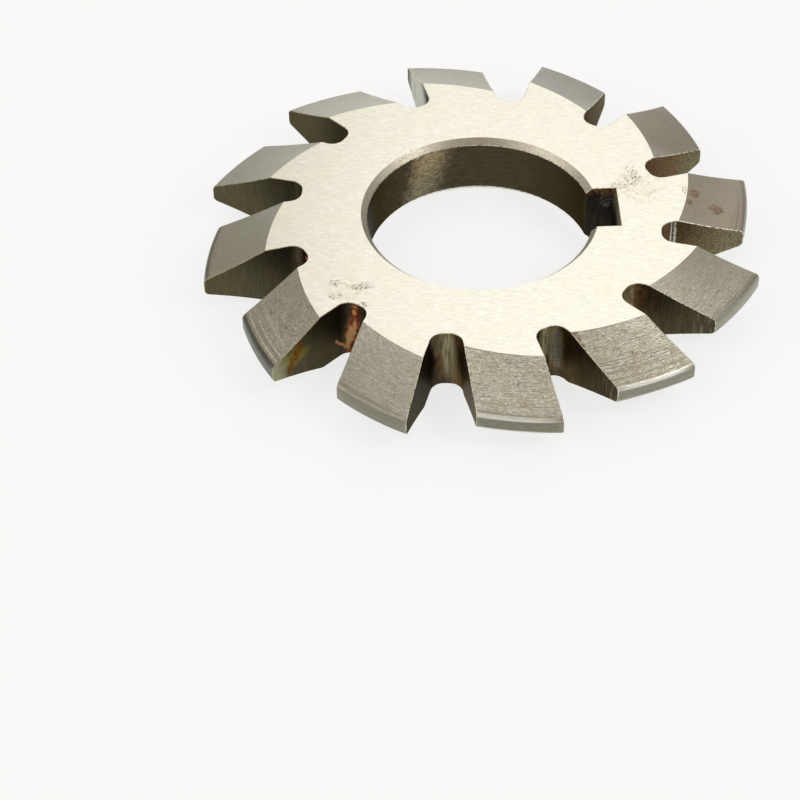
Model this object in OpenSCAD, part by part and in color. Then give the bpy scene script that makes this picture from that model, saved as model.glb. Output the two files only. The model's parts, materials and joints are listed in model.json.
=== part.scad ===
// Gear milling cutter: a disc cutter with form-relieved teeth that mills the
// tooth spaces of an involute gear. One solid of hardened steel.
//
// Frame, in millimetres: the origin is the middle of the bore, half way
// through the thickness. +Z is the bore axis. +X runs through the middle of
// the keyway. The cutting faces look anticlockwise seen from +Z.

/* [Tooth form] */
// module of the gear that the cutter mills
gear_module = 3; // [2.9:0.05:3.1]
// pressure angle of that gear, in degrees
pressure_angle = 20; // [18:0.5:21]
// number of teeth of the gear that the form is drawn for
gear_teeth = 135; // [110:5:200]
// rounding of the two corners of a tooth's tip
tip_round = 0.7; // [0.5:0.05:0.9]

/* [Disc] */
// diameter over the cutting edges, after resharpening
outside_d = 67.7; // [66.5:0.1:69.5]
// thickness between the two ground faces
thickness = 7.9; // [7.6:0.1:8.3]

/* [Arbor seat] */
// bore, for a standard milling arbor
bore_d = 27; // [26:0.5:28]
// width of the 45 degree chamfer at each end of the bore
bore_chamfer = 0.7; // [0.4:0.1:1]
// width of the keyway
key_w = 7; // [6.5:0.25:7.5]
// from the bore wall opposite the keyway to the keyway floor
key_height = 30.1; // [29.8:0.1:30.8]

/* [Teeth] */
// number of teeth
tooth_count = 12; // [10:1:13]
// angle from the keyway to the first cutting face
first_face = 13; // [0:1:29]
// angle that a tooth takes at its tip, from cutting face to heel
tooth_arc = 16.7; // [15.5:0.1:17.5]
// how far the relief falls over one tooth pitch
relief = 4; // [3.6:0.1:4.3]

/* [Gullets] */
// angle between a cutting face and the heel that it looks at
gullet_angle = 24; // [22:0.5:26]
// distance from the bore axis to the gullet floor
gullet_floor = 21.8; // [21:0.1:22.3]
// rounding at both sides of the gullet floor
gullet_round = 1.6; // [1.2:0.1:1.8]

/* [Hidden] */
$fn = 180;
// how far a cut runs past the face that it opens
over = 1;
tip_r = outside_d / 2;
half_t = thickness / 2;
pitch = 360 / tooth_count;
gap = pitch - tooth_arc;

// Tooth form: the space between two teeth of the gear, whose root circle the
// cutter's tip works at, 1.25 modules inside the pitch circle.
pitch_r = gear_module * gear_teeth / 2;
base_r = pitch_r * cos(pressure_angle);
root_r = pitch_r - 1.25 * gear_module;
form_depth = 3.2 * gear_module;
flank_steps = 8;
corner_steps = 6;

function involute(a) = tan(a) - a * PI / 180;
// half the angle of the tooth space at a radius of the gear, in degrees
function space_angle(r) = 90 / gear_teeth
    + (involute(acos(base_r / r)) - involute(pressure_angle)) * 180 / PI;
// a point of the flank, as [depth below the cutter's tip, half width]
function flank_at(depth) = let(r = root_r + depth, a = space_angle(r))
    [r * cos(a) - root_r, r * sin(a)];

// Tip corner: an arc that touches the tip line and the start of the flank.
tip_half = flank_at(0)[1];
first_step = flank_at(form_depth / flank_steps) - flank_at(0);
corner_turn = 90 - atan2(first_step[1], first_step[0]);
corner_y = tip_half - tip_round * tan(corner_turn / 2);
corner = [for (i = [0 : corner_steps]) let(a = corner_turn * i / corner_steps)
    [tip_round * (1 - cos(a)), corner_y + tip_round * sin(a)]];

// The flank ends where the form is as wide as the disc is thick.
flank = [for (i = [1 : flank_steps]) flank_at(form_depth * i / flank_steps)];
narrow = [for (p = flank) if (p[1] < half_t) p];
last = narrow[len(narrow) - 1];
next = flank[len(narrow)];
hub_depth = last[0]
    + (next[0] - last[0]) * (half_t - last[1]) / (next[1] - last[1]);

// Relief: each tooth is turned about an axis of its own, set off square to
// its cutting face, so that the whole form falls away towards the heel.
heel_r = tip_r - relief * tooth_arc / pitch;
relief_axis = (tip_r ^ 2 - heel_r ^ 2) / (2 * heel_r * sin(tooth_arc));
// radius about the relief axis of a point of the cutting face
function relief_r(r) = sqrt(r ^ 2 + relief_axis ^ 2);
// angle about the relief axis of a point of the disc
function relief_turn(r, turn) = atan2(r * sin(turn) - relief_axis,
    r * cos(turn));

// What is turned off round a tooth: the outline runs along one flank, over
// the tip, along the other flank and back outside them.
half_form = concat(corner, narrow,
    [[hub_depth, half_t], flank_at(hub_depth + over)]);
function form_side(side) = [for (p = half_form)
    [relief_r(tip_r - p[0]), side * p[1]]];
function reversed(list) = [for (i = [len(list) - 1 : -1 : 0]) list[i]];
outer_r = relief_r(tip_r + 2 * relief);
turned_off = concat(reversed(form_side(-1)), form_side(1),
    [[outer_r, half_t + over], [outer_r, -half_t - over]]);

// The turning starts and ends in the gullets on both sides of the tooth.
turn_start = relief_turn(tip_r, -pitch + 0.08 * gap);
turn_end = relief_turn(tip_r, 0.05 * gap);

// Gullet, with the cutting face along the X axis. The heel line meets the
// tip of the next tooth at its heel, and the floor is square to the line
// half way between heel and cutting face.
heel = heel_r * [cos(gap), sin(gap)];
apex = [heel[0] - heel[1] / tan(gullet_angle), 0];
mid = gullet_angle / 2;
mid_dir = [cos(mid), sin(mid)];
side_dir = [-sin(mid), cos(mid)];
heel_dir = [cos(gullet_angle), sin(gullet_angle)];
heel_normal = [-sin(gullet_angle), cos(gullet_angle)];
// distance of the floor from the apex, and the rounding that it has room for
floor_d = sqrt(gullet_floor ^ 2 - (apex[0] * sin(mid)) ^ 2)
    - apex[0] * cos(mid);
floor_round = min(gullet_round, 0.98 * floor_d * sin(mid) / (1 - sin(mid)));
floor_side = (floor_d + floor_round) * tan(mid) - floor_round / cos(mid);
face_centre = apex + (floor_d + floor_round) * mid_dir - floor_side * side_dir;
heel_centre = apex + (floor_d + floor_round) * mid_dir + floor_side * side_dir;
gullet_length = tip_r + 2 * relief - apex[0];

// what the relief turning takes off round one tooth
module tooth_relief() {
    translate([0, relief_axis, 0])
        rotate([0, 0, turn_start])
            rotate_extrude(angle = turn_end - turn_start)
                polygon(turned_off);
}

// one chip gullet, cut through the disc
module gullet() {
    linear_extrude(height = thickness + 2 * over, center = true) {
        polygon([
            [face_centre[0], 0],
            [apex[0] + gullet_length, 0],
            apex + gullet_length * heel_dir,
            heel_centre + floor_round * heel_normal,
            heel_centre - floor_round * mid_dir,
            face_centre - floor_round * mid_dir
        ]);
        translate(face_centre) circle(r = floor_round);
        translate(heel_centre) circle(r = floor_round);
    }
}

// chamfer at the upper end of the bore
module bore_mouth() {
    translate([0, 0, half_t - bore_chamfer])
        cylinder(r1 = bore_d / 2, r2 = bore_d / 2 + bore_chamfer + over,
            h = bore_chamfer + over);
}

// keyway, straight through both faces
module keyway() {
    translate([0, -key_w / 2, -half_t - over])
        cube([key_height - bore_d / 2, key_w, thickness + 2 * over]);
}

module cutter() {
    color([0.62, 0.6, 0.56])
    difference() {
        cylinder(r = tip_r + over / 2, h = thickness, center = true);
        for (i = [0 : tooth_count - 1])
            rotate([0, 0, first_face + i * pitch]) {
                tooth_relief();
                gullet();
            }
        cylinder(d = bore_d, h = thickness + 2 * over, center = true);
        bore_mouth();
        mirror([0, 0, 1]) bore_mouth();
        keyway();
    }
}

cutter();
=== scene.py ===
# %% [markdown]
# A gear milling cutter, seen from above and a little to one side. The real one is a disc
# of hardened tool steel, about 68 mm across, with twelve form-relieved teeth. Its shape
# is settled already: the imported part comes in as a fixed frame, in metres, with the
# bore axis on Z and the keyway towards +X. What is left to make here is the finish of
# each surface, the small wear along its edges, and the light that shows them.

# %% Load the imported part
import json
import math
import bmesh
import bpy
from mathutils import Matrix, Vector


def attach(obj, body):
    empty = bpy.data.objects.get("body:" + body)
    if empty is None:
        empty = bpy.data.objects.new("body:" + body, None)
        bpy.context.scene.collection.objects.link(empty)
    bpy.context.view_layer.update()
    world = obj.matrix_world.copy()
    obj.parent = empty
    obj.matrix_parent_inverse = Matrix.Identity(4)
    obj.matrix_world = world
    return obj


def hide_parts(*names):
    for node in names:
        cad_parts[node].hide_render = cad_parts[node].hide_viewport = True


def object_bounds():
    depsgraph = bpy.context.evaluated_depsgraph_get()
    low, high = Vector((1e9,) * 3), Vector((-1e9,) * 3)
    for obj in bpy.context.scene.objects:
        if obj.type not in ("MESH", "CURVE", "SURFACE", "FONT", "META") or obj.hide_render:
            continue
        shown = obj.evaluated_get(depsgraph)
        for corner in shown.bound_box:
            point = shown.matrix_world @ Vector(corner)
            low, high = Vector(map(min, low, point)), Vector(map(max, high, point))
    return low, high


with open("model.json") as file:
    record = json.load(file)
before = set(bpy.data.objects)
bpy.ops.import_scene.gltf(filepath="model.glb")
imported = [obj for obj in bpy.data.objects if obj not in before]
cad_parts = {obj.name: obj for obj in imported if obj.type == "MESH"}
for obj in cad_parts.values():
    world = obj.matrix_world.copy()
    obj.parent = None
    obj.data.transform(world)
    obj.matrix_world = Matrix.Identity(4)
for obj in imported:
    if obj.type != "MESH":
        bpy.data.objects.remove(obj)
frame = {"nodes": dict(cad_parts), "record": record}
cad_low, cad_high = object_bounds()
MM = 0.001
print("CAD box in mm:", [round(v / MM, 3) for v in (*cad_low, *cad_high)])

# %% [markdown]
# The camera stands where the photographer's lens stood. Its place is given the way a
# photographer would say it: how far round, how high, how far away, how much the frame
# is tilted, and how far the cutter lies from the middle of the picture. A matrix built
# from those turns is easier to correct than three bare coordinates.

# %% Camera
camera_round = math.radians(-0.67826)
camera_height = math.radians(44.32137)
camera_tilt = math.radians(-1.50764)
cutter_right, cutter_up, cutter_away = 9.5945, 19.71875, 289.22695
sensor_width, lens_length = 36, 108.0148
nearest_seen, farthest_seen = 0.01, 10
camera_turn = (
    Matrix.Rotation(camera_round, 4, "Z")
    @ Matrix.Rotation(math.pi / 2 - camera_height, 4, "X")
    @ Matrix.Rotation(camera_tilt, 4, "Z")
)
camera_data = bpy.data.cameras.new("camera")
camera_data.sensor_width = sensor_width
camera_data.lens = lens_length
camera_data.clip_start = nearest_seen
camera_data.clip_end = farthest_seen
camera = bpy.data.objects.new("camera", camera_data)
camera_offset = Vector((-cutter_right, -cutter_up, cutter_away)) * MM
camera.matrix_world = Matrix.Translation(camera_turn @ camera_offset) @ camera_turn
bpy.context.scene.collection.objects.link(camera)
bpy.context.scene.camera = camera
bpy.context.scene.view_settings.view_transform = "Standard"
print("camera at, in mm:", [round(v / MM, 2) for v in camera.location])

# %% [markdown]
# Every surface here is made of shader nodes, and a node tree written call by call is
# long and hard to read. Small helpers keep it short: the first adds a node and links
# what it is given, and the others cover the nodes used most, for maths, for one part of
# a vector or its length, for mixing two colours and for a soft step. A socket knows
# which node tree it is in, so these need no tree.

# %% Helpers for node trees
def add(tree, kind, inputs=(), **settings):
    """Adds a shader node, sets it up, and links or fills its inputs."""
    node = tree.nodes.new("ShaderNode" + kind)
    for name, value in settings.items():
        setattr(node, name, value)
    for socket, value in dict(inputs).items():
        if isinstance(value, bpy.types.NodeSocket):
            tree.links.new(value, node.inputs[socket])
        else:
            node.inputs[socket].default_value = value
    return node


def tree_of(*values):
    """The node tree of the first of the values that is a socket."""
    return next(v.id_data for v in values if isinstance(v, bpy.types.NodeSocket))


def maths(operation, *values):
    return add(tree_of(*values), "Math", enumerate(values), operation=operation).outputs[0]


def times(first, second):
    return maths("MULTIPLY", first, second)


def scale(value, by, plus):
    """The value times by, and then plus is added."""
    return maths("MULTIPLY_ADD", value, by, plus)


def vector_maths(operation, *values):
    tree = tree_of(*values)
    return add(tree, "VectorMath", enumerate(values), operation=operation).outputs[0]


def length_of(vector):
    return add(vector.id_data, "VectorMath", {0: vector}, operation="LENGTH").outputs["Value"]


def along(vector, axis):
    """One part of a vector; axis is X, Y or Z."""
    return add(vector.id_data, "SeparateXYZ", {0: vector}).outputs[axis]


def mix(share, first, second):
    """A colour that goes from the first to the second as share goes from 0 to 1."""
    first, second = (paint(*end) if isinstance(end, tuple) else end for end in (first, second))
    inputs = {0: share, 6: first, 7: second}
    return add(share.id_data, "Mix", inputs, data_type="RGBA").outputs[2]


def fade(value, start, end, low=0.0, high=1.0):
    """Low up to start, high from end, and a soft step between them."""
    inputs = {"Value": value, "From Min": start, "From Max": end, "To Min": low, "To Max": high}
    tree = value.id_data
    return add(tree, "MapRange", inputs, interpolation_type="SMOOTHSTEP").outputs[0]


def paint(red, green, blue):
    return (red, green, blue, 1.0)


# %% [markdown]
# The cutter lies on a plain pale table top. A white background comes from the floor's
# own colour: what the camera and the steel see of it is part plain light, so that it
# reads as white, and part a matt surface, which keeps the cutter's shadow. Lighting the
# floor until it turns white would also burn out the steel.

# %% Floor
floor_size, glow_share = 4.0, 0.75
table_white = paint(0.96, 0.96, 0.97)
floor_data = bpy.data.meshes.new("floor")
floor_mesh = bmesh.new()
bmesh.ops.create_grid(floor_mesh, x_segments=1, y_segments=1, size=floor_size / 2)
bmesh.ops.translate(floor_mesh, verts=floor_mesh.verts, vec=(0, 0, cad_low.z))
floor_mesh.to_mesh(floor_data)
floor_mesh.free()
floor = bpy.data.objects.new("floor", floor_data)
bpy.context.scene.collection.objects.link(floor)

floor_paint = bpy.data.materials.new("floor_paint")
floor_paint.use_nodes = True
tree = floor_paint.node_tree
tree.nodes.clear()
matt = add(tree, "BsdfDiffuse", {"Color": table_white})
glow = add(tree, "Emission", {"Color": paint(1, 1, 1), "Strength": 1.0})
rays = add(tree, "LightPath")
seen = maths("MAXIMUM", rays.outputs["Is Camera Ray"], rays.outputs["Is Glossy Ray"])
seen = maths("MAXIMUM", seen, rays.outputs["Is Transmission Ray"])
both = add(tree, "MixShader", {
    0: times(seen, glow_share), 1: matt.outputs[0], 2: glow.outputs[0]})
add(tree, "OutputMaterial", {"Surface": both.outputs[0]})
floor_data.materials.append(floor_paint)
print("floor at", round(cad_low.z / MM, 3), "mm")

# %% [markdown]
# Bare steel shows little of its own: it shows the room. The ground face mirrors what
# stands behind the cutter at 44 degrees, so a large soft panel there makes it bright.
# The tooth flanks on the near side mirror the ceiling, those on the far side mirror the
# horizon, and those at the left and right mirror the dimmer part between them. The
# world is that room: white at the horizon, dimmer above it and lighter overhead, and
# dimmer on the right than on the left.

# %% World
world = bpy.data.worlds.new("studio")
world.use_nodes = True
bpy.context.scene.world = world
tree = world.node_tree
tree.nodes.clear()
direction = add(tree, "TexCoord").outputs["Generated"]
height = along(direction, "Z")
ramp = add(tree, "ValToRGB", {"Fac": height})
room = (
    (0.0, (0.96, 0.96, 0.96)),
    (0.07, (0.88, 0.88, 0.85)),
    (0.22, (0.40, 0.38, 0.34)),
    (0.5, (0.46, 0.42, 0.36)),
    (0.78, (0.45, 0.42, 0.36)),
    (0.92, (0.66, 0.62, 0.54)),
    (1.0, (0.92, 0.87, 0.77)),
)
stops = ramp.color_ramp.elements
while len(stops) < len(room):
    stops.new(0.5)
for stop, (level, colour) in zip(stops, room):
    stop.position = level
    stop.color = paint(*colour)
right_dimming = 0.35
to_right = fade(along(direction, "X"), 0.0, 0.8)
dim = times(times(to_right, fade(height, 0.5, 0.1)), right_dimming)
room_colour = mix(dim, ramp.outputs["Color"], (0, 0, 0))
sky = add(tree, "Background", {"Color": room_colour, "Strength": 1.0})
add(tree, "OutputWorld", {"Surface": sky.outputs[0]})
print("room stops:", [round(e.position, 2) for e in ramp.color_ramp.elements])

# %% [markdown]
# The softboxes are square area lamps that look at the cutter. A lamp is described by
# where it stands and by how bright it looks, because that is what the steel mirrors:
# its power is that brightness times pi and its area.

# %% Softboxes
def softbox(name, round_deg, height_deg, distance, size, brightness, colour):
    """A square lamp, in metres and degrees; round_deg is 0 behind the cutter."""
    data = bpy.data.lights.new(name, "AREA")
    data.shape = "SQUARE"
    data.size = size
    data.energy = brightness * math.pi * size ** 2
    data.color = colour
    lamp = bpy.data.objects.new(name, data)
    turn, lift = math.radians(round_deg), math.radians(height_deg)
    away = Vector((math.sin(turn) * math.cos(lift), math.cos(turn) * math.cos(lift),
                   math.sin(lift)))
    facing = away.to_track_quat("Z", "Y").to_matrix().to_4x4()
    lamp.matrix_world = Matrix.Translation(away * distance) @ facing
    lamp.visible_camera = False
    bpy.context.scene.collection.objects.link(lamp)
    return lamp


lamps = [
    softbox("back_panel", 17, 47, 0.62, 0.40, 0.91, (1.0, 1.0, 1.0)),
    softbox("left_box", -108, 38, 0.66, 0.56, 1.0, (1.0, 0.985, 0.96)),
    softbox("right_box", 108, 38, 0.66, 0.56, 0.55, (1.0, 0.985, 0.96)),
    softbox("tip_light", 112, 45, 0.60, 0.12, 8.0, (1.0, 0.985, 0.95)),
]
print("lamps in watts:", {lamp.name: round(lamp.data.energy, 2) for lamp in lamps})

# %% [markdown]
# The finish follows the tools that made each surface, so the script needs the cutter's
# own measures. The bore and the thickness come from the frame, and the radius over the
# tips from the mesh itself. Each tooth was turned about an axis of its own, set off
# from the bore axis, and the turning lines run round that axis.

# %% Measures of the cutter
teeth = 12
pitch = 360 / teeth
first_face = 13
tooth_arc = 16.7
relief = 4
mounts = {mount["name"]: mount for mount in frame["record"]["mounts"]}
bore_r = mounts["bore"]["dims"]["r_mm"]
key_floor = mounts["keyway"]["pos_m"][0] / MM
key_half = 3.5
half_t = cad_high.z / MM
cad_mesh = frame["nodes"]["cutter"].data
tip_r = max(math.hypot(v.co.x, v.co.y) for v in cad_mesh.vertices) / MM
heel_r = tip_r - relief * tooth_arc / pitch
relief_axis = (tip_r ** 2 - heel_r ** 2) / (2 * heel_r * math.sin(math.radians(tooth_arc)))
tip_arm = math.hypot(tip_r, relief_axis)
print("bore", bore_r, "tip", round(tip_r, 2), "relief axis", round(relief_axis, 2), "mm")

# %% [markdown]
# A CAD mesh comes as loose triangles. A copy is merged into one skin. The copy is what
# gets the finish, and it stands for the CAD node, which stays as it is.

# %% One skin from the loose triangles
merge_below, collapse_below = 0.002 * MM, 0.003 * MM
skin = bmesh.new()
skin.from_mesh(cad_mesh)
bmesh.ops.remove_doubles(skin, verts=skin.verts, dist=merge_below)
skin.normal_update()
print(len(skin.verts), "points and", len(skin.faces), "faces in one skin")

# %% [markdown]
# One blank, seven finishes: the two faces are surface ground, the flanks and tips are
# form turned, the gullets milled, the bore ground, its chamfers turned, the keyway
# broached, and the edges between them worn bright. Which is which follows from where a
# face lies and which way it looks, so each face gets its finish by a short question.

# %% Name the finish of each face
FINISHES = ["ground_face", "turned_flank", "milled_gullet", "bore_wall", "bore_chamfer",
            "keyway_wall", "worn_edge"]
GROUND, FLANK, GULLET, BORE, CHAMFER, KEYWAY, EDGE = range(len(FINISHES))
FLANK_FROM, GULLET_FROM = -24.5, -8.4
LEVEL, SLOPING, UPRIGHT = 0.999, (0.6, 0.8), 0.02
slack, chamfer_slack, corner_slack, arm_slack = 0.1, 1, 0.4, 0.05


def in_tooth_frame(point, lowest):
    """How far to turn so that the tooth or gullet at a point has its cutting face on +X.

    Lowest is the lowest angle from a cutting face, in degrees, that counts as its own.
    """
    angle = math.degrees(math.atan2(point.y, point.x)) - first_face
    number = math.floor((angle - lowest) / pitch)
    return math.radians(-first_face - number * pitch), number % teeth


def relief_arm(point):
    """Distance from the axis that the tooth at a point was turned about."""
    turn = in_tooth_frame(point, FLANK_FROM)[0]
    own = Matrix.Rotation(turn, 3, "Z") @ point
    return math.hypot(own.x, own.y - relief_axis)


def finish_of(face):
    middle = face.calc_center_median() / MM
    reach = math.hypot(middle.x, middle.y)
    up_or_down = abs(face.normal.z)
    if up_or_down > LEVEL:
        return GROUND
    if reach < bore_r + chamfer_slack and SLOPING[0] < up_or_down < SLOPING[1]:
        return CHAMFER
    if up_or_down > UPRIGHT:
        return FLANK
    in_keyway = middle.x > 0 and abs(middle.y) < key_half + slack
    if in_keyway and reach < key_floor + corner_slack:
        return KEYWAY
    if reach < bore_r + slack:
        return BORE
    return FLANK if abs(relief_arm(middle) - tip_arm) < arm_slack else GULLET


for face in skin.faces:
    face.material_index = finish_of(face)
print({name: sum(f.material_index == i for f in skin.faces) for i, name in enumerate(FINISHES)})

# %% [markdown]
# A bevel needs room, and round the tip corners the CAD mesh has edges shorter than the
# bevel is wide. Each of them is closed up. The end that stays is the one where more
# finishes meet, or else the one nearer a ground face, so that no corner moves.

# %% Close the short edges
shortest_edge = 0.12


def holds_still(point):
    """Of two points, the one for which this is higher stays."""
    finishes = {face.material_index for face in point.link_faces}
    return len(finishes), abs(point.co.z)


closed_up = 0
while True:
    goes_to = {}
    for edge in skin.edges:
        moves, stays = sorted(edge.verts, key=holds_still)
        free = moves not in goes_to and stays not in goes_to and moves not in goes_to.values()
        if edge.calc_length() < shortest_edge * MM and free:
            goes_to[moves] = stays
    if not goes_to:
        break
    bmesh.ops.weld_verts(skin, targetmap=goes_to)
    closed_up += len(goes_to)
bmesh.ops.dissolve_degenerate(skin, edges=skin.edges, dist=collapse_below)
bmesh.ops.triangulate(skin, faces=[f for f in skin.faces if len(f.verts) > 3])
skin.normal_update()
open_edges = sum(not edge.is_manifold for edge in skin.edges)
print(closed_up, "points closed up,", len(skin.faces), "faces left,", open_edges, "open edges")

# %% [markdown]
# No real edge is perfectly sharp. A bevel of a few hundredths of a millimetre catches
# the light as a thin line along the cutting edges, the gullets and the bore. Where a
# ground face meets a flank or a chamfer it gets none, because grinding leaves that edge
# crisp, and the broken edges down in the bore are as dark as its wall.

# %% Break the edges
edge_width = 0.07
wall_slack, nearly_upright = 0.2, 0.2


def is_worn(edge):
    if len(edge.link_faces) != 2:
        return False
    sides = {face.material_index for face in edge.link_faces}
    return len(sides) == 2 and sides not in ({GROUND, FLANK}, {GROUND, CHAMFER})


worn = [edge for edge in skin.edges if is_worn(edge)]
bevel = bmesh.ops.bevel(skin, geom=worn, offset=edge_width * MM, offset_type="OFFSET",
                        segments=2, profile=0.5, affect="EDGES", material=-1,
                        clamp_overlap=False)
for face in bevel["faces"]:
    inside = face.calc_center_median().xy.length / MM < bore_r + wall_slack
    face.material_index = BORE if inside and abs(face.normal.z) < nearly_upright else EDGE
bmesh.ops.remove_doubles(skin, verts=skin.verts, dist=merge_below)
skin.normal_update()
print(len(worn), "edges broken,", len(bevel["faces"]), "faces on them")

# %% [markdown]
# A long triangle that carries smooth shading across a seam would look dented, so the
# shading is cut at every seam between finishes and at every turn of over 20 degrees.
# Below that angle lie only the steps of what is round: the bore, the gullet floors and
# the tip corners.

# %% Smooth what is round
smooth_below = math.radians(20)
for face in skin.faces:
    face.smooth = True
for edge in skin.edges:
    sides = {face.material_index for face in edge.link_faces}
    edge.smooth = len(sides) == 1 and edge.calc_face_angle(0) < smooth_below
print(sum(not edge.smooth for edge in skin.edges), "edges left sharp")

# %% [markdown]
# Tool marks follow the path of the tool, which no plain coordinate gives. The piece
# gets a UV map of its own, named lay, in millimetres: U runs along the marks and V
# across them. On a flank they run round the tooth's relief axis, in a gullet and in
# the keyway along the bore axis, in the bore round it, and on the ground faces all one
# way, 12 degrees off the keyway. Each tooth and gullet has its own part of the map, so
# that no two look alike, and in a gullet's part the heel is folded out past the face.

# %% Map the lay of the tool marks
grinding_turn = math.radians(12)
flank_part, gullet_part, lower_face = 60, 90, 120
heel_above, heel_fold = 2, 60


def flank_lay(point, middle):
    turn, number = in_tooth_frame(middle, FLANK_FROM)
    own = Matrix.Rotation(turn, 3, "Z") @ point
    arm = math.hypot(own.x, own.y - relief_axis)
    run = arm * math.atan2(own.y - relief_axis, own.x)
    return run + flank_part * number, point.z + math.copysign(tip_arm - arm, middle.z)


def gullet_lay(point, middle):
    turn, number = in_tooth_frame(middle, GULLET_FROM)
    own = Matrix.Rotation(turn, 3, "Z") @ point
    across = own.x if own.y < heel_above else heel_fold - own.x
    return point.z, across + own.y + gullet_part * number


def bore_lay(point, middle):
    angle = math.atan2(point.y, point.x) % math.tau
    near = math.atan2(middle.y, middle.x) % math.tau
    if angle - near > math.pi:
        angle -= math.tau
    if near - angle > math.pi:
        angle += math.tau
    return angle * bore_r, point.z + math.hypot(point.x, point.y) - bore_r


def keyway_lay(point, middle):
    return point.z, point.y + point.x


def ground_lay(point, middle):
    own = Matrix.Rotation(grinding_turn, 3, "Z") @ point
    return own.x, own.y + (0 if middle.z > 0 else lower_face)


LAYS = [ground_lay, flank_lay, gullet_lay, bore_lay, bore_lay, keyway_lay, ground_lay]
lay_map = skin.loops.layers.uv.new("lay")
for face in skin.faces:
    middle = face.calc_center_median() / MM
    for loop in face.loops:
        loop[lay_map].uv = LAYS[face.material_index](loop.vert.co / MM, middle)
print("lay mapped on", sum(len(face.loops) for face in skin.faces), "corners")

# %% [markdown]
# The skin becomes one object at the origin. It rides on the part's only body and
# stands for the cutter's CAD node.

# %% The cutter as one piece
body_mesh = bpy.data.meshes.new("cutter_body")
skin.to_mesh(body_mesh)
skin.free()
cutter_body = bpy.data.objects.new("cutter_body", body_mesh)
bpy.context.scene.collection.objects.link(cutter_body)
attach(cutter_body, "root")
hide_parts("cutter")
print("cutter_body has", len(body_mesh.polygons), "faces")

# %% [markdown]
# An effect that several finishes share is a node group, built once. This helper makes
# an empty one from the names of what goes in and what comes out.

# %% Start a shared effect
SOCKETS = {"value": "NodeSocketFloat", "vector": "NodeSocketVector", "colour": "NodeSocketColor"}


def new_effect(name, takes, gives):
    """A node group; takes and gives are dicts of socket name to value, vector or colour."""
    tree = bpy.data.node_groups.new(name, "ShaderNodeTree")
    for direction, sockets in (("INPUT", takes), ("OUTPUT", gives)):
        for socket, kind in sockets.items():
            tree.interface.new_socket(name=socket, in_out=direction, socket_type=SOCKETS[kind])
    start = tree.nodes.new("NodeGroupInput")
    end = tree.nodes.new("NodeGroupOutput")
    return tree, start.outputs, end.inputs


def place(effect, values):
    """Places a shared effect in a material and gives back its outputs."""
    return add(tree_of(*values.values()), "Group", values, node_tree=effect).outputs


# %% [markdown]
# Tool marks are a noise pulled out along the lay: long in U, fine in V. Two of them are
# added, one fine and one about three times as coarse, because a real tool leaves both
# its own nose marks and the slower shake of the machine.

# %% Effect: tool marks
coarser, fine_share = (0.41, 0.31, 1.0), 0.75
tool_marks, takes, gives = new_effect(
    "tool_marks", {"Lay": "vector", "Length": "value", "Width": "value"}, {"Mark": "value"})
per_length = maths("DIVIDE", 1.0, takes["Length"])
per_width = maths("DIVIDE", 1.0, takes["Width"])
pull = add(tool_marks, "CombineXYZ", {0: per_length, 1: per_width}).outputs[0]
pulled = vector_maths("MULTIPLY", takes["Lay"], pull)
coarse_at = vector_maths("MULTIPLY", pulled, coarser)
fine = add(tool_marks, "TexNoise", {
    "Vector": pulled, "Scale": 1.0, "Detail": 2.0, "Roughness": 0.6})
coarse = add(tool_marks, "TexNoise", {"Vector": coarse_at, "Scale": 1.0, "Detail": 1.0})
coarse_part = times(coarse.outputs[0], 1 - fine_share)
marks_sum = scale(fine.outputs[0], fine_share, coarse_part)
tool_marks.links.new(fade(marks_sum, 0.34, 0.66), gives["Mark"])

# %% [markdown]
# Oil, stains and rust gather in one place and not in another. A patch is a soft ball
# round a point, pushed out of shape by noise so that its border is ragged.

# %% Effect: ragged patch
patch, takes, gives = new_effect(
    "ragged_patch",
    {"Place": "vector", "Centre": "vector", "Reach": "vector", "Rag": "value", "Grain": "value"},
    {"Mask": "value"})
per_grain = maths("DIVIDE", 1.0, takes["Grain"])
push = add(patch, "TexNoise", {"Vector": takes["Place"], "Scale": per_grain, "Detail": 3.0})
push_by = vector_maths("SUBTRACT", push.outputs["Color"], (0.5, 0.5, 0.5))
rag = add(patch, "VectorMath", {0: push_by, "Scale": takes["Rag"]}, operation="SCALE").outputs[0]
pushed = vector_maths("ADD", takes["Place"], rag)
away = vector_maths("SUBTRACT", pushed, takes["Centre"])
away = vector_maths("DIVIDE", away, takes["Reach"])
patch.links.new(fade(length_of(away), 0.45, 1.0, 1.0, 0.0), gives["Mask"])

# %% [markdown]
# Pits are small round holes of uneven size. A Voronoi texture gives one point to each
# cell; the cell's own random colour says how large its pit is, and whether it has one.

# %% Effect: pits
pits, takes, gives = new_effect(
    "pits", {"Place": "vector", "Size": "value", "Share": "value"}, {"Mask": "value"})
per_size = maths("DIVIDE", 1.0, takes["Size"])
cells = add(pits, "TexVoronoi", {"Vector": takes["Place"], "Scale": per_size})
luck = add(pits, "SeparateColor", {0: cells.outputs["Color"]})
chosen = maths("LESS_THAN", luck.outputs[0], takes["Share"])
pit_r = fade(luck.outputs[1], 0.0, 1.0, 0.2, 0.55)
depth = maths("SUBTRACT", pit_r, cells.outputs["Distance"])
pits.links.new(times(fade(depth, 0.0, 0.12), chosen), gives["Mask"])

# %% [markdown]
# A film of oil or a tarnish lies in clouds with soft borders. One noise gives the
# clouds; the two limits say how much of the surface they cover.

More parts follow.
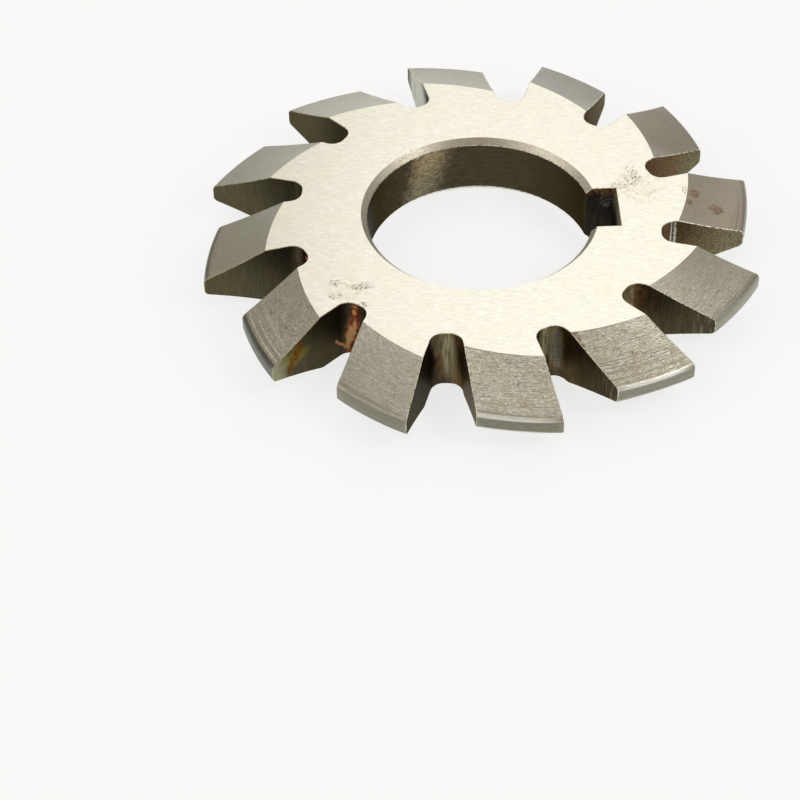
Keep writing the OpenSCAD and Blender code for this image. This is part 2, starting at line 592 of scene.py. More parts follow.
# %% Effect: clouds
clouds, takes, gives = new_effect(
    "clouds", {"Place": "vector", "Size": "value", "From": "value", "To": "value"},
    {"Mask": "value"})
per_size = maths("DIVIDE", 1.0, takes["Size"])
cloud = add(clouds, "TexNoise", {"Vector": takes["Place"], "Scale": per_size, "Detail": 4.0,
                                 "Roughness": 0.62, "Distortion": 0.6})
clouds.links.new(fade(cloud.outputs[0], takes["From"], takes["To"]), gives["Mask"])

# %% [markdown]
# Rust goes from a dark brown crust to light orange powder. The colour comes from the
# same kind of noise, finer, through a ramp of three colours.

# %% Effect: rust
rust, takes, gives = new_effect("rust", {"Place": "vector", "Size": "value"}, {"Colour": "colour"})
per_size = maths("DIVIDE", 1.0, takes["Size"])
crust = add(rust, "TexNoise", {"Vector": takes["Place"], "Scale": per_size, "Detail": 4.0,
                               "Roughness": 0.62})
ramp = add(rust, "ValToRGB", {"Fac": crust.outputs[0]})
ramp.color_ramp.elements[0].position = 0.40
ramp.color_ramp.elements[0].color = paint(0.11, 0.014, 0.003)
ramp.color_ramp.elements[1].position = 0.66
ramp.color_ramp.elements[1].color = paint(1.0, 0.48, 0.18)
ramp.color_ramp.elements.new(0.51).color = paint(0.66, 0.14, 0.02)
rust.links.new(ramp.outputs["Color"], gives["Colour"])

# %% [markdown]
# Each finish starts as bare steel: a metallic Principled shader with a little
# directional gloss, because tool marks spread a reflection across themselves. The marks
# are read from the lay map and the stains from the object's own coordinates, both in
# millimetres.

# %% Start a steel finish
def steel(name, directional, rim=1.0):
    """A new material; returns it, its shader, its lay coordinate and its place in mm.

    Rim is how much of its gloss the steel keeps where it is seen at a flat angle.
    """
    material = bpy.data.materials.new(name)
    material.use_nodes = True
    tree = material.node_tree
    tree.nodes.clear()
    tangent = add(tree, "Tangent", direction_type="UV_MAP", uv_map="lay").outputs[0]
    shader = add(tree, "BsdfPrincipled", {
        "Metallic": 1.0, "Specular Tint": paint(rim, rim, rim), "Anisotropic": directional,
        "Anisotropic Rotation": 0.25, "Tangent": tangent})
    add(tree, "OutputMaterial", {"Surface": shader.outputs[0]})
    lay = add(tree, "UVMap", uv_map="lay").outputs[0]
    metres = add(tree, "TexCoord").outputs["Object"]
    place_mm = add(tree, "VectorMath", {0: metres, "Scale": 1 / MM}, operation="SCALE").outputs[0]
    return material, shader, lay, place_mm


def bump(shader, height, depth):
    """Gives the shader a relief; depth is in millimetres from the lowest to the highest."""
    inputs = {"Height": height, "Strength": 1.0, "Distance": depth * MM}
    link(shader, Normal=add(shader.id_data, "Bump", inputs).outputs[0])


def link(shader, **sockets):
    for name, value in sockets.items():
        shader.id_data.links.new(value, shader.inputs[name.replace("_", " ")])


def grain_of(place_mm, fineness, detail, roughness):
    inputs = {"Vector": place_mm, "Scale": fineness, "Detail": detail, "Roughness": roughness}
    return add(place_mm.id_data, "TexNoise", inputs).outputs[0]


# %% [markdown]
# The finishes call the shared effects many times, so each gets a short name here. Two
# more helpers build on them: one joins several patches in one mask, and the other lays
# a colour over what is there already.

# %% Short names for the shared effects
def marks(lay, length, width):
    return place(tool_marks, {"Lay": lay, "Length": length, "Width": width})["Mark"]


def holes(place_mm, size, share):
    return place(pits, {"Place": place_mm, "Size": size, "Share": share})["Mask"]


def cloud_of(place_mm, size, start, end):
    return place(clouds, {"Place": place_mm, "Size": size, "From": start, "To": end})["Mask"]


def rust_of(place_mm, size):
    return place(rust, {"Place": place_mm, "Size": size})["Colour"]


def patches(place_mm, places):
    """Several ragged patches in one mask; a place is centre, reach, rag and grain."""
    total = 0.0
    for centre, reach, rag, grain in places:
        values = {"Place": place_mm, "Centre": centre, "Reach": reach, "Rag": rag, "Grain": grain}
        total = maths("MAXIMUM", total, place(patch, values)["Mask"])
    return total


def cover(colour, mask, strength, top):
    """Lays a top colour over another where the mask is, at a strength from 0 to 1."""
    return mix(times(mask, strength), colour, top)


print("shared effects:", [group.name for group in bpy.data.node_groups])

# %% [markdown]
# The two ground faces are the brightest surface. Surface grinding leaves fine short
# scratches, all one way, and a thin tarnish gives the steel a warm cast here and there.
# Near the keyway and at the left moisture has eaten clusters of small dark pits, with
# thin tan stains round them.

# %% Finish: ground face
PIT_PLACES = [
    ((18.7, 5.0, half_t), (1.5, 1.4, 1.0), 1.6, 0.9),
    ((18.6, 6.7, half_t), (1.0, 1.2, 1.0), 1.4, 0.8),
    ((16.9, 3.9, half_t), (1.4, 0.9, 1.0), 1.2, 0.7),
    ((24.8, 2.6, half_t), (0.4, 1.0, 1.0), 0.6, 0.5),
    ((-17.3, -12.2, half_t), (0.9, 0.8, 1.0), 1.4, 0.5),
    ((-17.3, -14.4, half_t), (1.1, 0.6, 1.0), 1.4, 0.5),
    ((-14.4, -12.8, half_t), (1.7, 0.8, 1.0), 2.0, 0.6),
    ((-14.2, -15.9, half_t), (0.75, 0.7, 1.0), 0.4, 0.4),
]
TAN_PLACES = [
    ((19.6, 3.6, half_t), (3.6, 4.0, 1.0), 3.0, 1.6),
    ((-16.0, -13.2, half_t), (3.2, 2.6, 1.0), 2.6, 1.2),
    ((22.4, 0.9, half_t), (0.8, 0.3, 1.0), 0.5, 0.5),
]


def ground_face():
    material, shader, lay, place_mm = steel("ground_face", 0.4)
    fine = marks(lay, 0.9, 0.09)
    broad = marks(lay, 1.5, 0.17)
    colour = mix(fine, (0.80, 0.79, 0.71), (0.92, 0.91, 0.83))
    colour = cover(colour, broad, 0.30, (0.68, 0.67, 0.58))
    colour = cover(colour, cloud_of(place_mm, 0.40, 0.50, 0.70), 0.32, (0.68, 0.63, 0.51))
    colour = cover(colour, cloud_of(place_mm, 3.2, 0.45, 0.75), 0.30, (0.85, 0.79, 0.61))
    stained = patches(place_mm, TAN_PLACES)
    stain = times(stained, cloud_of(place_mm, 0.55, 0.46, 0.64))
    colour = cover(colour, stain, 0.52, (0.62, 0.49, 0.29))
    freckles = times(stained, holes(place_mm, 0.5, 0.35))
    colour = cover(colour, freckles, 0.4, (0.50, 0.36, 0.22))
    eaten = patches(place_mm, PIT_PLACES)
    smudge = times(eaten, cloud_of(place_mm, 0.3, 0.42, 0.66))
    colour = cover(colour, smudge, 0.5, (0.32, 0.30, 0.28))
    pitted = times(eaten, holes(place_mm, 0.24, 0.7))
    colour = cover(colour, pitted, 0.9, (0.045, 0.042, 0.042))
    roughness = scale(fine, -0.06, 0.33)
    roughness = scale(pitted, 0.4, roughness)
    link(shader, Base_Color=colour, Roughness=roughness)
    bump(shader, scale(pitted, -5.0, fine), 0.0016)
    return material


# %% [markdown]
# The flanks carry the lines of the form tool, round each tooth's relief axis, and are a
# duller grey than the ground faces. No two teeth look quite alike: some are duller, two
# at the right are warm and freckled, and one is lighter. A smooth patch that covers a
# whole tooth gives it its own shade, and small ragged patches place the rust.

# %% Places on the teeth
def whole_tooth(x, y, reach_x, reach_y, z=0.0):
    """A patch with a smooth border that goes through the whole thickness."""
    return (x, y, z), (reach_x, reach_y, 20.0), 0.0, 1.0


RUST_SPOTS = [
    ((25.9, 2.4, 3.5), (0.95, 1.0, 1.4), 1.0, 0.6),
    ((25.2, 0.6, 3.7), (0.5, 0.7, 1.2), 0.7, 0.5),
    ((28.5, 0.6, 2.4), (1.4, 1.0, 1.8), 1.6, 0.7),
    ((15.9, -23.8, 2.4), (0.25, 0.25, 0.5), 0.4, 0.3),
    ((9.45, -21.8, 3.9), (0.55, 0.6, 0.6), 0.5, 0.4),
    ((9.9, -22.5, 3.6), (0.5, 0.7, 0.6), 0.5, 0.4),
    ((10.4, -23.2, 3.2), (0.3, 0.4, 0.5), 0.4, 0.4),
]
# Painted dark reflection on the tips of two teeth at the left.
DARK_TIPS = [
    whole_tooth(-27.3, -18.5, 8.0, 8.0),
    whole_tooth(-33.0, -2.5, 6.0, 8.0),
]
# Painted shade on one tip and two lands, and a painted highlight on two tip corners.
SHADED_TIPS = [whole_tooth(-13.5, -29.8, 7.0, 7.0, z=0.8)]
SHADED_LANDS = [whole_tooth(2.4, -32.5, 8.0, 6.0)]
DIMMED_LANDS = [whole_tooth(18.6, -27.8, 9.0, 8.0)]
HIGHLIT_CORNERS = [
    ((17.8, -26.6, 1.2), (6.0, 5.0, 4.0), 0.0, 1.0),
    ((1.6, -31.9, 1.2), (7.0, 5.0, 4.0), 0.0, 1.0),
]
HIGHLIT_RIDGES = [((-26.0, -17.8, 2.0), (7.0, 7.0, 3.0), 1.0, 2.0)]
LINED_TEETH = [whole_tooth(16.5, -23.9, 11.0, 11.0)]
DULLER_TEETH = [
    whole_tooth(12.5, 26.3, 9.0, 8.0),
    whole_tooth(24.0, 16.5, 8.0, 8.0),
    whole_tooth(-12.5, -26.3, 9.0, 8.0),
]
SOFTER_TEETH = [
    whole_tooth(-26.2, 12.4, 8.0, 8.0),
    whole_tooth(-28.9, -2.3, 8.0, 8.0),
    whole_tooth(26.2, -12.4, 10.0, 10.0),
    whole_tooth(16.5, -23.9, 10.0, 10.0),
]
WARM_TEETH = [
    whole_tooth(24.0, 16.5, 8.0, 8.0),
    whole_tooth(28.9, 2.3, 9.0, 9.0),
]
LIGHTER_TEETH = [whole_tooth(-12.5, 26.3, 9.0, 8.0)]
print(len(RUST_SPOTS), "rust spots,", len(SOFTER_TEETH), "softer teeth")

# %% [markdown]
# The teeth on the near side were cut rougher. Their lines are deep enough to see as
# ridges, and painted glints, near-white flecks in the colour, lie on them. Long dark
# furrows run along them near the tips. On one tooth the crests between the furrows get a
# painted highlight.

# %% Lines of the form tool
def cut_lines(lay, rough_cut, fine, ridges, grain):
    contrast = scale(rough_cut, 0.6, 0.4)
    even = times(maths("SUBTRACT", fine, 0.5), contrast)
    share = maths("ADD", even, 0.5)
    colour = mix(share, (0.40, 0.39, 0.33), (0.66, 0.645, 0.575))
    dull = times(fade(ridges, 0.5, 0.05), rough_cut)
    colour = cover(colour, dull, 0.5, (0.24, 0.215, 0.17))
    # Painted glints: near-white flecks on the rough-cut teeth.
    painted_sparks = fade(marks(lay, 0.55, 0.24), 0.70, 0.98)
    painted_glitter = fade(marks(lay, 0.24, 0.11), 0.84, 1.0)
    painted_glint = maths("MAXIMUM", painted_sparks, fade(grain, 0.58, 0.68))
    painted_glint = times(maths("MAXIMUM", painted_glint, painted_glitter), rough_cut)
    return cover(colour, painted_glint, 0.62, (0.94, 0.92, 0.86))


def long_furrows(lay, place_mm, colour, level, to_back):
    long_lines = marks(lay, 30.0, 0.30)
    near_tip = times(fade(level, 4.5, 2.5), fade(to_back, 8.0, 0.0))
    lined = maths("MAXIMUM", near_tip, patches(place_mm, LINED_TEETH))
    furrows = times(fade(long_lines, 0.34, 0.12), lined)
    colour = cover(colour, furrows, 0.55, (0.25, 0.22, 0.18))
    # Painted highlight on the crests of one tooth.
    crest_highlight = times(fade(long_lines, 0.58, 0.80), patches(place_mm, HIGHLIT_RIDGES))
    crest_highlight = times(crest_highlight, fade(level, 5.4, 4.2))
    return cover(colour, crest_highlight, 0.75, (0.90, 0.88, 0.77))


# %% [markdown]
# Over the lines lie the shade of each tooth, then dust and dried oil, most of it where
# the cut is rough, and then the rust: a faint haze, a brown fringe and a dark core.

# %% Shade, dirt and rust of the flanks
def shade_of_tooth(place_mm, colour, duller):
    colour = cover(colour, duller, 0.26, (0.12, 0.12, 0.095))
    colour = cover(colour, patches(place_mm, SOFTER_TEETH), 0.16, (0.14, 0.15, 0.08))
    warm = patches(place_mm, WARM_TEETH)
    colour = cover(colour, warm, 0.18, (0.28, 0.125, 0.01))
    freckles = times(warm, holes(place_mm, 0.26, 0.10))
    colour = cover(colour, freckles, 0.35, (0.20, 0.12, 0.06))
    return cover(colour, patches(place_mm, LIGHTER_TEETH), 0.12, (0.90, 0.88, 0.76))


def flank_dirt(place_mm, colour, rough_cut, grain):
    dusty = scale(rough_cut, 0.8, 0.2)
    dusty = times(dusty, fade(grain, 0.5, 0.38))
    colour = cover(colour, dusty, 0.5, (0.27, 0.25, 0.20))
    dried = times(rough_cut, cloud_of(place_mm, 1.5, 0.46, 0.70))
    colour = cover(colour, dried, 0.34, (0.36, 0.28, 0.17))
    colour = cover(colour, cloud_of(place_mm, 2.6, 0.48, 0.78), 0.25, (0.42, 0.37, 0.28))
    specks = times(holes(place_mm, 0.3, 0.02), rough_cut)
    return cover(colour, specks, 0.6, (0.13, 0.10, 0.075))


def flank_rust(place_mm, colour, grain):
    spots = patches(place_mm, RUST_SPOTS)
    colour = cover(colour, spots, 0.28, (0.40, 0.23, 0.15))
    fringe = times(spots, fade(grain, 0.34, 0.56))
    colour = cover(colour, fringe, 0.6, (0.30, 0.21, 0.12))
    core = times(fade(spots, 0.5, 1.0), fade(grain, 0.45, 0.58))
    return cover(colour, core, 0.85, (0.13, 0.055, 0.028)), fringe, core


# %% [markdown]
# The tips get a painted dark reflection of what lies below and in front of them: they are
# darker than the flanks, and darkest along their rounded corners. How far a point is from
# the middle of its tip is read from V of the lay map. Three near teeth get more painted
# shade on their lands or corners, two at the left are painted almost black there, and on
# two of the near ones the corner gets a bright painted highlight.

# %% Tips of the teeth
tip_land, tip_corner = 0.7, 1.5


def tip_shades(place_mm, colour, level, grain):
    # Painted dark reflection on every tip, darkest along the corners.
    tip = fade(level, tip_land, tip_corner, 1.0, 0.0)
    colour = cover(colour, tip, 0.7, (0.285, 0.285, 0.22))
    corner = times(fade(level, tip_land - 0.3, tip_land + 0.1),
                   fade(level, tip_corner + 0.9, tip_corner))
    colour = cover(colour, corner, 0.4, (0.27, 0.245, 0.20))
    dark_tip = times(patches(place_mm, DARK_TIPS),
                     fade(level, tip_corner + 0.6, tip_corner - 0.2))
    colour = cover(colour, dark_tip, 0.88, (0.075, 0.077, 0.058))
    arris = times(fade(level, tip_land - 0.1, tip_land + 0.1),
                  fade(level, tip_corner + 0.1, tip_corner - 0.2))
    # Painted highlight on two tip corners.
    corner_highlight = times(patches(place_mm, HIGHLIT_CORNERS), arris)
    colour = cover(colour, corner_highlight, 0.9, (0.95, 0.93, 0.87))
    shaded_tip = times(patches(place_mm, SHADED_TIPS),
                     fade(level, tip_corner + 0.4, tip_corner - 0.2))
    shaded_tip = times(shaded_tip, fade(grain, 0.2, 0.5, 0.6, 1.0))
    colour = cover(colour, shaded_tip, 0.40, (0.12, 0.115, 0.075))
    on_land = fade(level, tip_land + 0.3, tip_land - 0.1)
    shaded_land = times(patches(place_mm, SHADED_LANDS), on_land)
    colour = cover(colour, shaded_land, 0.55, (0.11, 0.115, 0.07))
    dimmed_land = times(patches(place_mm, DIMMED_LANDS), on_land)
    return cover(colour, dimmed_land, 0.24, (0.11, 0.105, 0.07))


# %% [markdown]
# The finish of the flanks puts these layers on each other. Rough_cut goes from 0 on the
# far teeth to 1 on the near ones, and the relief follows it too.

# %% Finish: turned flank
def turned_flank():
    material, shader, lay, place_mm = steel("turned_flank", 0.45)
    to_back = along(place_mm, "Y")
    duller = patches(place_mm, DULLER_TEETH)
    rough_cut = times(fade(to_back, 0.0, -24.0), scale(duller, -0.45, 1.0))
    fine = marks(lay, 0.9, 0.09)
    ridges = marks(lay, 0.9, 0.20)
    grain = grain_of(place_mm, 4.0, 3.0, 0.65)
    level = maths("ABSOLUTE", along(lay, "Y"))
    colour = cut_lines(lay, rough_cut, fine, ridges, grain)
    colour = long_furrows(lay, place_mm, colour, level, to_back)
    colour = shade_of_tooth(place_mm, colour, duller)
    colour = flank_dirt(place_mm, colour, rough_cut, grain)
    colour, fringe, core = flank_rust(place_mm, colour, grain)
    colour = tip_shades(place_mm, colour, level, grain)
    roughness = scale(fringe, 0.25, scale(fine, -0.06, 0.34))
    metal = scale(core, -0.8, 1.0)
    link(shader, Base_Color=colour, Roughness=roughness, Metallic=metal)
    deep = times(scale(ridges, 1.5, grain), scale(rough_cut, 2.8, 0.2))
    bump(shader, maths("ADD", deep, fine), 0.0045)
    return material


# %% [markdown]
# The gullets were milled and then hardened, and nobody polished them. Dirt, oil and rust
# lie in different ones, so first come the places: a crust of rust with powder, a shaded
# side and a thin tail, brown roots, pale, scraped and pitted strips, and yellow oil.

# %% Places in the gullets
RUST_TAIL = [
    (centre, (0.22, 0.22, 0.34), 0.12, 0.3)
    for centre in ((-17.5, -16.31, -1.3), (-17.35, -16.17, -1.6), (-17.18, -16.01, -1.9),
                   (-17.0, -15.87, -2.12), (-16.82, -15.74, -2.3), (-16.65, -15.66, -2.55),
                   (-16.5, -15.6, -2.9))
]
GULLET_RUST = [
    ((-15.2, -15.8, 1.6), (0.85, 0.80, 2.8), 0.6, 0.5),
    ((-15.6, -15.6, -0.8), (1.05, 0.90, 2.4), 0.6, 0.5),
    ((-15.95, -15.5, -2.9), (0.75, 0.70, 2.0), 0.5, 0.4),
    ((-20.75, -6.6, 3.2), (0.35, 0.4, 0.4), 0.2, 0.3),
    *RUST_TAIL,
]
RUST_POWDER = [
    ((-15.3, -15.68, 2.55), (0.40, 0.36, 0.55), 0.3, 0.25),
    ((-15.3, -15.66, 0.4), (0.38, 0.36, 1.0), 0.35, 0.3),
    ((-15.65, -15.55, -0.5), (0.68, 0.50, 1.2), 0.5, 0.35),
    ((-15.98, -15.5, -1.5), (0.56, 0.44, 1.2), 0.45, 0.35),
    ((-16.2, -15.53, -2.5), (0.34, 0.32, 1.1), 0.3, 0.3),
    *RUST_TAIL,
]
RUST_SHADE = [
    ((-14.8, -15.95, 1.3), (0.55, 0.50, 2.6), 0.4, 0.4),
    ((-15.15, -15.75, -1.2), (0.48, 0.44, 1.6), 0.35, 0.35),
    ((-15.6, -15.55, -3.0), (0.48, 0.42, 1.7), 0.35, 0.35),
    ((-15.55, -15.58, 1.5), (0.38, 0.36, 0.9), 0.3, 0.3),
]
ROOT_BROWN = [
    ((21.8, -3.6, 2.8), (1.0, 1.0, 2.8), 1.2, 0.8),
    ((23.4, 9.8, 1.4), (4.6, 3.4, 4.6), 1.8, 1.1),
    ((-5.75, -21.3, -0.6), (0.6, 0.7, 3.2), 0.6, 0.7),
    ((-3.5, -21.8, 2.8), (0.5, 0.9, 1.4), 0.6, 0.6),
    ((17.9, -14.0, 2.4), (0.9, 0.8, 2.4), 0.9, 0.7),
]
PALE_PLACES = [
    ((-4.7, -21.3, 1.2), (0.85, 0.8, 4.4), 0.7, 0.6),
    ((16.3, -14.5, 2.0), (1.1, 1.1, 4.4), 0.7, 0.6),
    ((6.3, -20.9, 2.0), (0.5, 0.5, 3.6), 0.4, 0.5),
]
SCRAPED_PLACES = [
    ((22.60, -3.14, 1.4), (0.15, 0.4, 4.8), 0.10, 0.4),
    ((23.05, -3.08, 1.6), (0.22, 0.4, 4.4), 0.55, 0.30),
]
PITTED_PLACES = [((7.65, -20.65, 0.4), (0.8, 0.7, 4.0), 0.3, 0.3)]
OLIVE_PLACES = [
    ((6.2, -21.0, 2.0), (1.3, 1.3, 3.8), 0.6, 0.8),
    ((7.6, -20.7, 1.2), (1.2, 1.1, 3.4), 0.6, 0.4),
    ((-6.2, -21.4, 3.4), (1.5, 1.2, 2.2), 0.5, 0.6),
    ((-4.6, -21.3, 0.6), (1.3, 1.0, 5.0), 0.7, 0.7),
    ((15.7, -15.0, 1.0), (1.3, 1.3, 5.5), 0.6, 0.8),
    ((-6.1, -21.4, 1.6), (0.7, 0.7, 1.8), 0.4, 0.5),
]
PALE_END = [((-25.6, -23.9, -0.6), (4.3, 4.0, 5.5), 1.8, 1.2)]
# Painted shade, deep in some gullets and at the bottom of one.
SHADED_PLACES = [
    ((12.0, -25.5, 0.0), (6.0, 6.5, 8.0), 1.5, 2.0),
    ((23.0, -16.2, 0.0), (7.5, 5.0, 8.0), 1.5, 2.0),
    ((7.6, -21.2, -4.3), (3.2, 2.6, 2.8), 0.4, 1.0),
]
CLEAN_PLACES = [((-7.0, 27.5, 0.0), (5.0, 6.0, 6.0), 1.0, 2.0)]
OIL_PLACES = [((-22.3, -20.9, 0.6), (2.8, 2.8, 1.7), 2.2, 1.3)]
OIL_STREAK = [
    ((-21.6, -20.1, 1.6), (0.65, 0.60, 1.3), 0.7, 0.6),
    ((-22.1, -20.6, 0.8), (0.65, 0.60, 1.3), 0.7, 0.6),
    ((-22.6, -21.1, -0.1), (0.45, 0.42, 1.2), 0.7, 0.6),
    ((-22.95, -21.4, -0.9), (0.35, 0.33, 1.2), 0.7, 0.6),
]
print(len(GULLET_RUST), "patches of rust,", len(OLIVE_PLACES), "olive places")

# %% [markdown]
# The cutting faces are dark olive and the heels a lighter, speckled brown. Both get
# painted shade: darker towards the root, lighter towards the tips. A few faces get more
# painted shade, some are olive or scraped clean, one has a pitted strip, and the outer
# ends of the heels carry pale streaks.

# %% Steel of the gullets
def gullet_steel(lines, speckle, heel, reach):
    # Painted shade: darker towards the root, lighter towards the tips.
    outward = fade(reach, 22.5, 31.0)
    inner = mix(lines, (0.044, 0.039, 0.025), (0.064, 0.057, 0.036))
    outer = mix(lines, (0.082, 0.073, 0.041), (0.116, 0.104, 0.060))
    face = mix(outward, inner, outer)
    heel_inner = mix(speckle, (0.055, 0.032, 0.014), (0.22, 0.135, 0.058))
    heel_outer = mix(speckle, (0.085, 0.070, 0.038), (0.31, 0.28, 0.165))
    back = mix(outward, heel_inner, heel_outer)
    back = cover(back, lines, 0.25, (0.22, 0.20, 0.12))
    return mix(heel, face, back)


def gullet_shades(place_mm, colour, lines, speckle, heel, reach):
    # Painted shade in some gullets.
    dark = patches(place_mm, SHADED_PLACES)
    dark_colour = mix(lines, (0.038, 0.032, 0.018), (0.080, 0.070, 0.043))
    colour = cover(colour, dark, 0.85, dark_colour)
    streaked = times(fade(reach, 27.5, 31.5), fade(lines, 0.6, 1.0))
    streaked = times(streaked, heel)
    colour = cover(colour, streaked, 0.5, (0.30, 0.28, 0.19))
    olive = patches(place_mm, OLIVE_PLACES)
    olive_colour = mix(lines, (0.17, 0.14, 0.06), (0.36, 0.31, 0.17))
    colour = cover(colour, olive, 0.8, olive_colour)
    grey = mix(speckle, (0.06, 0.062, 0.045), (0.26, 0.265, 0.20))
    colour = cover(colour, patches(place_mm, PITTED_PLACES), 0.9, grey)
    return cover(colour, patches(place_mm, CLEAN_PLACES), 0.95, (0.93, 0.94, 0.83)), olive


# %% [markdown]
# Oil has gone yellow in one gullet, with a burnt brown streak down its face. The roots
# are brown with old dirt or pale where the cutter left streaks along the bore axis, and
# two thin lines are scraped down to bright steel.

# %% Oil and stains in the gullets
def gullet_oil(place_mm, colour, grain):
    colour = cover(colour, cloud_of(place_mm, 2.6, 0.48, 0.72), 0.25, (0.13, 0.095, 0.032))
    colour = cover(colour, patches(place_mm, OIL_PLACES), 0.6, (0.25, 0.195, 0.045))
    colour = cover(colour, patches(place_mm, PALE_END), 0.85, (0.38, 0.38, 0.24))
    streak = patches(place_mm, OIL_STREAK)
    burnt = times(streak, fade(grain, 0.28, 0.50))
    colour = cover(colour, burnt, 0.85, (0.18, 0.068, 0.004))
    core = times(fade(streak, 0.6, 1.0), fade(grain, 0.5, 0.62))
    return cover(colour, core, 0.8, (0.07, 0.022, 0.004))


def gullet_stains(place_mm, colour, lines, speckle):
    brown = times(patches(place_mm, ROOT_BROWN), cloud_of(place_mm, 0.5, 0.36, 0.62))
    brown_colour = mix(speckle, (0.10, 0.038, 0.011), (0.34, 0.165, 0.05))
    colour = cover(colour, brown, 0.8, brown_colour)
    pale = times(patches(place_mm, PALE_PLACES), fade(lines, 0.1, 0.8))
    colour = cover(colour, pale, 0.7, (0.50, 0.47, 0.27))
    return cover(colour, patches(place_mm, SCRAPED_PLACES), 1.0, (0.96, 0.94, 0.86)), brown


# %% [markdown]
# One gullet holds a raised crust of orange rust, with light powder on it and one dark
# side. Rust and the brown and olive dirt don't reflect as metal does, so they also take
# away from the steel's metallic value. On the lay map the heels start at 35 in each
# gullet's part.

# %% Finish: milled gullet
heel_from = 35


def gullet_crust(place_mm, colour):
    crust = patches(place_mm, GULLET_RUST)
    rusty = rust_of(place_mm, 0.8)
    rusty = cover(rusty, patches(place_mm, RUST_SHADE), 0.75, (0.18, 0.03, 0.008))
    powder = mix(cloud_of(place_mm, 0.8, 0.35, 0.6), (1.0, 0.46, 0.13), (1.0, 0.71, 0.36))
    rusty = cover(rusty, patches(place_mm, RUST_POWDER), 0.95, powder)
    return mix(crust, colour, rusty), crust


def milled_gullet():
    material, shader, lay, place_mm = steel("milled_gullet", 0.2, rim=0.35)
    lines = marks(lay, 3.0, 0.14)
    grain = grain_of(place_mm, 5.0, 4.0, 0.7)
    speckle = fade(grain, 0.36, 0.64)
    across = maths("FLOORED_MODULO", along(lay, "Y"), gullet_part)
    heel = fade(across, heel_from - 0.5, heel_from + 0.5)
    reach = length_of(place_mm)
    colour = gullet_steel(lines, speckle, heel, reach)
    colour, olive = gullet_shades(place_mm, colour, lines, speckle, heel, reach)
    colour = gullet_oil(place_mm, colour, grain)
    colour, brown = gullet_stains(place_mm, colour, lines, speckle)
    colour, crust = gullet_crust(place_mm, colour)
    roughness = scale(crust, 0.15, scale(speckle, 0.14, 0.32))
    matter = maths("MAXIMUM", crust, times(brown, 0.6))
    matter = maths("MAXIMUM", matter, times(olive, 0.5))
    metal = scale(matter, -0.95, 0.95)
    link(shader, Base_Color=colour, Roughness=roughness, Metallic=metal)
    lumps = times(crust, scale(speckle, 3.0, 4.0))
    height = maths("ADD", lumps, maths("ADD", lines, speckle))
    bump(shader, height, 0.008)
    return material


# %% [markdown]
# The bore was ground to fit its arbor, and is almost black: partly oil, partly a painted
# dark reflection of what lies below it. At the left a streaky band that leans a little is
# a painted reflection in the colour of bronze. Towards the keyway the wall gets painted
# shade. The band's limits are lengths round the wall, in millimetres from the keyway.

# %% Finish: bore wall
reflection_from, reflection_to, reflection_slant = 27.2, 29.6, 0.25


def bore_wall():
    material, shader, lay, place_mm = steel("bore_wall", 0.6, rim=0.4)
    lines = marks(lay, 1.1, 0.13)
    # Partly oil, partly a painted dark reflection.
    colour = mix(lines, (0.045, 0.038, 0.022), (0.084, 0.071, 0.041))
    colour = cover(colour, cloud_of(place_mm, 3.0, 0.42, 0.7), 0.5, (0.070, 0.050, 0.026))
    # Painted bronze reflection in a band at the left.
    around = scale(along(place_mm, "Z"), reflection_slant, along(lay, "X"))
    ragged = cloud_of(place_mm, 1.2, 0.35, 0.65)
    around = scale(ragged, 0.9, around)
    reflection_band = times(fade(around, reflection_from - 3.0, reflection_from + 0.8),
                 fade(around, reflection_to + 1.8, reflection_to - 0.8))
    streaks = fade(marks(lay, 0.6, 0.09), 0.1, 1.0, 0.25, 1.0)
    reflection_colour = mix(fade(along(place_mm, "Z"), -2.0, 2.4), (0.36, 0.33, 0.21),
                       (0.56, 0.44, 0.25))
    colour = cover(colour, times(reflection_band, streaks), 0.85, reflection_colour)
    # Painted shade towards the keyway.
    shaded = fade(along(place_mm, "X"), 3.0, 12.0)
    colour = cover(colour, shaded, 0.4, (0.020, 0.017, 0.011))
    link(shader, Base_Color=colour, Roughness=scale(lines, 0.1, 0.28))
    bump(shader, lines, 0.0015)
    return material


# %% [markdown]
# The chamfers at the mouths of the bore were turned and left as they were: a mid grey,
# freckled with small brown points, and darker at the back: partly tarnish, partly painted
# shade that tones down a lamp's reflection.

# %% Finish: bore chamfer
TARNISH_AND_SHADE = [((-1.5, 13.5, 0.0), (15.0, 8.0, 6.0), 1.5, 2.0)]


def bore_chamfer():
    material, shader, lay, place_mm = steel("bore_chamfer", 0.2)
    lines = marks(lay, 0.8, 0.10)
    colour = mix(lines, (0.53, 0.50, 0.42), (0.70, 0.665, 0.575))
    freckles = cloud_of(place_mm, 0.22, 0.50, 0.66)
    colour = cover(colour, freckles, 0.45, (0.33, 0.28, 0.21))
    # Partly tarnish, partly painted shade over a lamp's reflection.
    colour = cover(colour, patches(place_mm, TARNISH_AND_SHADE), 0.42, (0.24, 0.20, 0.13))
    roughness = scale(freckles, 0.1, 0.42)
    link(shader, Base_Color=colour, Roughness=roughness)
    bump(shader, lines, 0.003)
    return material


# %% [markdown]
# The keyway was broached, and grime and rust have settled in it. Its side walls are
# almost black below and brown towards the face, with a few grey scratches from fitting
# a key. The wall at its end is paler.

# %% Finish: keyway wall
SCRATCHED = [((15.4, 3.5, 2.0), (1.3, 0.6, 1.1), 0.9, 0.7)]


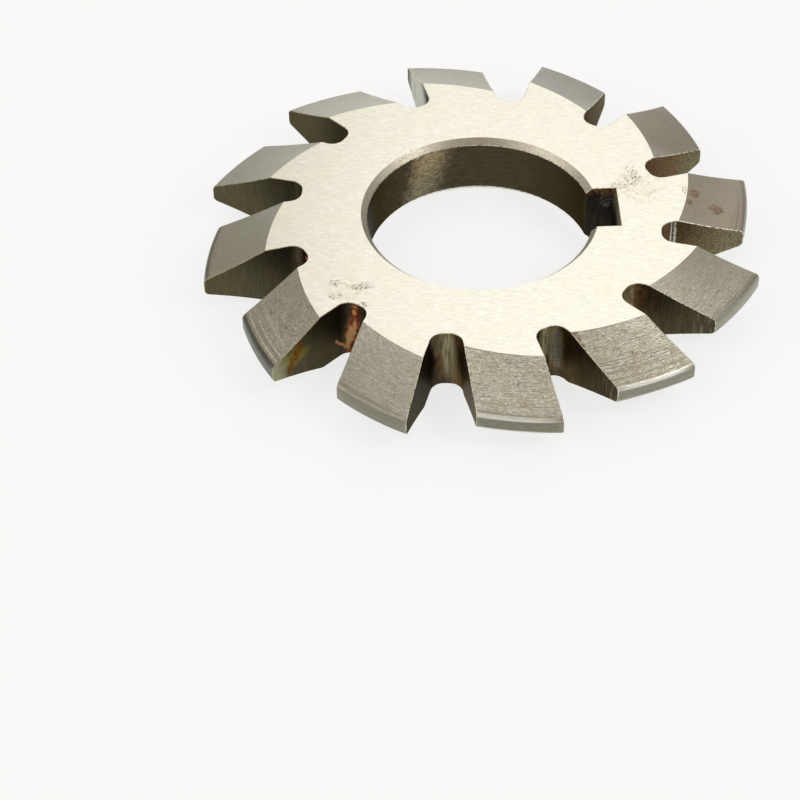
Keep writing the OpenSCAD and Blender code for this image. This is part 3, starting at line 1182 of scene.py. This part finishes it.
def keyway_wall():
    material, shader, lay, place_mm = steel("keyway_wall", 0.0, rim=0.4)
    lines = marks(lay, 2.5, 0.13)
    colour = mix(lines, (0.016, 0.014, 0.010), (0.042, 0.036, 0.026))
    end_wall = fade(along(place_mm, "X"), key_floor - 0.3, key_floor - 0.05)
    end_wall = times(end_wall, fade(along(place_mm, "Z"), -0.5, 2.5))
    colour = cover(colour, end_wall, 0.9, (0.34, 0.31, 0.22))
    ragged = cloud_of(place_mm, 0.7, 0.3, 0.7)
    border = scale(ragged, 1.1, along(place_mm, "Z"))
    near_face = fade(border, 3.1, 4.2)
    brown = mix(ragged, (0.070, 0.030, 0.010), (0.30, 0.165, 0.06))
    colour = cover(colour, near_face, 0.75, brown)
    scratched = times(patches(place_mm, SCRATCHED), cloud_of(place_mm, 0.2, 0.48, 0.6))
    colour = cover(colour, scratched, 0.8, (0.30, 0.29, 0.26))
    metal = scale(near_face, -0.6, 0.9)
    link(shader, Base_Color=colour, Metallic=metal,
         Roughness=scale(ragged, 0.2, 0.36))
    bump(shader, maths("ADD", lines, near_face), 0.006)
    return material


# %% [markdown]
# Along every broken edge the dark skin is rubbed off. The steel there is bright with a
# brassy cast, duller at the left, and small nicks interrupt it.

# %% Finish: worn edge
def worn_edge():
    material, shader, lay, place_mm = steel("worn_edge", 0.0)
    nicks = cloud_of(place_mm, 0.26, 0.38, 0.56)
    left = fade(along(place_mm, "X"), -8.0, -20.0)
    bright = mix(left, (0.96, 0.93, 0.78), (0.50, 0.47, 0.30))
    colour = mix(nicks, (0.22, 0.18, 0.10), bright)
    link(shader, Base_Color=colour, Roughness=scale(nicks, -0.1, 0.42))
    bump(shader, nicks, 0.008)
    return material


# %% [markdown]
# The mesh already says which finish each face has, as a number. The materials are added
# in that same order, so that the numbers find them.

# %% Hang the finishes on the cutter
makers = [ground_face, turned_flank, milled_gullet, bore_wall, bore_chamfer, keyway_wall, worn_edge]
for maker in makers:
    body_mesh.materials.append(maker())
print("finishes:", [material.name for material in body_mesh.materials])
